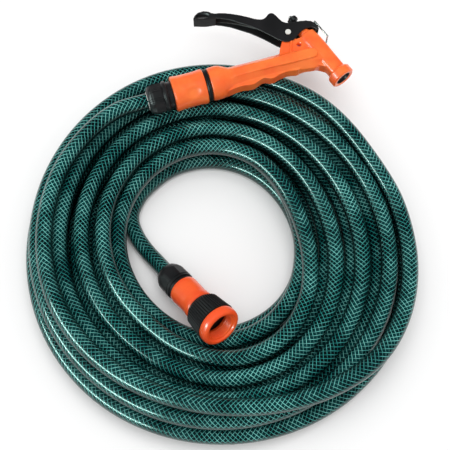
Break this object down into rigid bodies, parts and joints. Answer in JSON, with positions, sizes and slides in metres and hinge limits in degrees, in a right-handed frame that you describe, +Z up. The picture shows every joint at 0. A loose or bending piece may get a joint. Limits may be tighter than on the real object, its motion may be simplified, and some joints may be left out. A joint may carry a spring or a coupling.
{
  "type": "garden hose set",
  "caption": "Braided garden hose in a loose coil with a quick connector at each end, a threaded tap adaptor and a lever-operated spray gun.",
  "frame": {"origin": "centre of the overall box, on the floor under the coil", "axes": "+Z up; +X to the right of the picture, towards the gun's nozzle; +Y away from the viewer, towards the gun"},
  "size_m": [0.3804, 0.4212, 0.0815],
  "materials": {
    "hose_pvc": "glossy green translucent vinyl over a braid",
    "black_plastic": "satin moulded",
    "orange_plastic": "smooth moulded",
    "white_plastic": "satin moulded",
    "black_rubber": "smooth",
    "steel": "drawn wire"
  },
  "bodies": {
    "hose": {"hose_coil": "hose_pvc", "hose_gun_tail": "hose_pvc", "gun_connector_hose_nut": "black_plastic", "gun_connector_collet": "white_plastic", "gun_connector_core": "black_plastic", "gun_connector_sleeve_spring": "steel", "tap_connector_hose_nut": "black_plastic", "tap_connector_collet": "white_plastic", "tap_connector_core": "black_plastic", "tap_connector_sleeve_spring": "steel"},
    "gun": {"gun_body": "orange_plastic", "gun_spigot": "orange_plastic", "gun_o_ring": "black_rubber", "lever_pin": "white_plastic", "packing_gland": "orange_plastic", "stem_seal": "black_rubber", "muzzle_ring": "orange_plastic", "nozzle_tip": "white_plastic", "stem_spring": "steel"},
    "lever": {"trigger_lever": "black_plastic"},
    "catch": {"wire_catch": "steel"},
    "stem": {"valve_stem": "steel", "valve_washer": "black_rubber"},
    "flow_nut": {"adjusting_nut": "black_plastic"},
    "adaptor": {"adaptor_body": "black_plastic", "adaptor_insert": "orange_plastic", "adaptor_washer": "black_rubber", "adaptor_o_ring": "black_rubber"},
    "gun_sleeve": {"gun_connector_release_sleeve": "orange_plastic"},
    "gun_claw_1": {"gun_connector_claw_1": "white_plastic"},
    "gun_claw_2": {"gun_connector_claw_2": "white_plastic"},
    "gun_claw_3": {"gun_connector_claw_3": "white_plastic"},
    "tap_sleeve": {"tap_connector_release_sleeve": "orange_plastic"},
    "tap_claw_1": {"tap_connector_claw_1": "white_plastic"},
    "tap_claw_2": {"tap_connector_claw_2": "white_plastic"},
    "tap_claw_3": {"tap_connector_claw_3": "white_plastic"}
  },
  "joints": [
    {"name": "gun_swivel", "type": "hinge", "parent": "hose", "child": "gun", "pos_m": [-0.01312, 0.12815, 0.06475], "axis": [0.9588, 0.284, 0], "range_deg": [-8, 8]},
    {"name": "trigger_squeeze", "type": "hinge", "parent": "gun", "child": "lever", "pos_m": [0.06434, 0.18176, 0.06475], "axis": [0, 0, 1], "range_deg": [0, 16], "stiffness_Nm_per_rad": 1.5, "springref_deg": -8.59},
    {"name": "stem_lift", "type": "slide", "parent": "gun", "child": "stem", "axis": [-0.5948, 0.8039, 0], "range_m": [0, 0.0046], "deforming": ["stem_spring"]},
    {"name": "flow_nut_turn", "type": "hinge", "parent": "stem", "child": "flow_nut", "pos_m": [0.07692, 0.19107, 0.06475], "axis": [-0.5948, 0.8039, 0], "range_deg": [-170, 170]},
    {"name": "catch_swing", "type": "hinge", "parent": "lever", "child": "catch", "pos_m": [0.09103, 0.19342, 0.06475], "axis": [0, 0, 1], "range_deg": [0, 60]},
    {"name": "adaptor_turn", "type": "hinge", "parent": "hose", "child": "adaptor", "pos_m": [-0.01961, -0.08931, 0.03941], "axis": [0.597, -0.6868, 0.4147], "continuous": true},
    {"name": "gun_sleeve_slide", "type": "slide", "parent": "hose", "child": "gun_sleeve", "axis": [-0.9588, -0.284, 0], "range_m": [0, 0.00325], "stiffness_N_per_m": 600, "springref_m": -0.003, "deforming": ["gun_connector_sleeve_spring"]},
    {"name": "gun_claw_1_slide", "type": "slide", "parent": "hose", "child": "gun_claw_1", "axis": [0, 0, 1], "range_m": [0, 0.0013]},
    {"name": "gun_claw_2_slide", "type": "slide", "parent": "hose", "child": "gun_claw_2", "axis": [0.246, -0.8304, -0.5], "range_m": [0, 0.0013]},
    {"name": "gun_claw_3_slide", "type": "slide", "parent": "hose", "child": "gun_claw_3", "axis": [-0.246, 0.8304, -0.5], "range_m": [0, 0.0013]},
    {"name": "tap_sleeve_slide", "type": "slide", "parent": "hose", "child": "tap_sleeve", "axis": [-0.597, 0.6868, -0.4147], "range_m": [0, 0.00325], "stiffness_N_per_m": 600, "springref_m": -0.003, "deforming": ["tap_connector_sleeve_spring"]},
    {"name": "tap_claw_1_slide", "type": "slide", "parent": "hose", "child": "tap_claw_1", "axis": [-0.2721, 0.313, 0.91], "range_m": [0, 0.0013]},
    {"name": "tap_claw_2_slide", "type": "slide", "parent": "hose", "child": "tap_claw_2", "axis": [-0.5176, -0.7247, -0.455], "range_m": [0, 0.0013]},
    {"name": "tap_claw_3_slide", "type": "slide", "parent": "hose", "child": "tap_claw_3", "axis": [0.7896, 0.4117, -0.455], "range_m": [0, 0.0013]}
  ],
  "couplings": [
    {"joint": "stem_lift", "follows": "trigger_squeeze", "m_per_rad": 0.01565},
    {"joint": "gun_claw_1_slide", "follows": "gun_sleeve_slide", "ratio": 0.4},
    {"joint": "gun_claw_2_slide", "follows": "gun_sleeve_slide", "ratio": 0.4},
    {"joint": "gun_claw_3_slide", "follows": "gun_sleeve_slide", "ratio": 0.4},
    {"joint": "tap_claw_1_slide", "follows": "tap_sleeve_slide", "ratio": 0.4},
    {"joint": "tap_claw_2_slide", "follows": "tap_sleeve_slide", "ratio": 0.4},
    {"joint": "tap_claw_3_slide", "follows": "tap_sleeve_slide", "ratio": 0.4}
  ]
}
